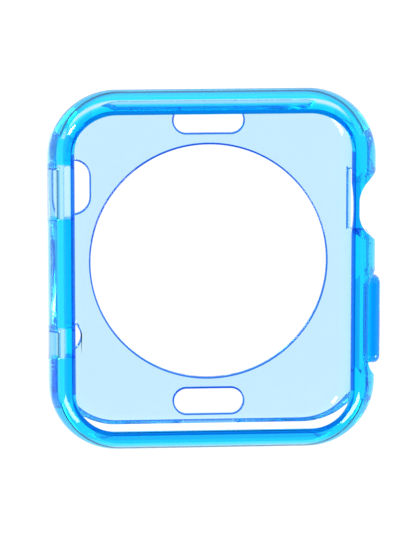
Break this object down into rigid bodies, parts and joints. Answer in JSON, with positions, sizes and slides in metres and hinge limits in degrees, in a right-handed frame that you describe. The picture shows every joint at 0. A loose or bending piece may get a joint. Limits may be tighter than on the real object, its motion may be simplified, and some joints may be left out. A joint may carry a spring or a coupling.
{
  "type": "smart watch bumper case",
  "caption": "Soft translucent blue clip-on case for a square smart watch: round-cornered bezel, open strap ends, crown notch, button pad and a back with a round sensor window.",
  "frame": {"origin": "centre of the round sensor window, on the outer face of the back panel", "axes": "+Z out through the screen opening, +Y towards the twelve o'clock strap end, +X towards the crown"},
  "size_m": [0.0406, 0.0442, 0.0092],
  "materials": {
    "clear_blue_tpu": "glossy moulded translucent TPU",
    "button_blue_tpu": "glossy moulded translucent TPU, thick enough to look deep blue"
  },
  "bodies": {
    "case": {"front_bezel": "clear_blue_tpu", "back_panel": "clear_blue_tpu", "crown_side_post": "clear_blue_tpu", "crown_side_rail": "clear_blue_tpu", "speaker_side_post": "clear_blue_tpu", "speaker_side_rail": "clear_blue_tpu", "mic_side_post": "clear_blue_tpu", "button_web": "clear_blue_tpu"},
    "side_button": {"button_pad": "button_blue_tpu"}
  },
  "joints": [
    {"name": "button_press", "type": "slide", "parent": "case", "child": "side_button", "axis": [-1, 0, 0], "range_m": [0, 0.0004], "stiffness_N_per_m": 1500}
  ]
}
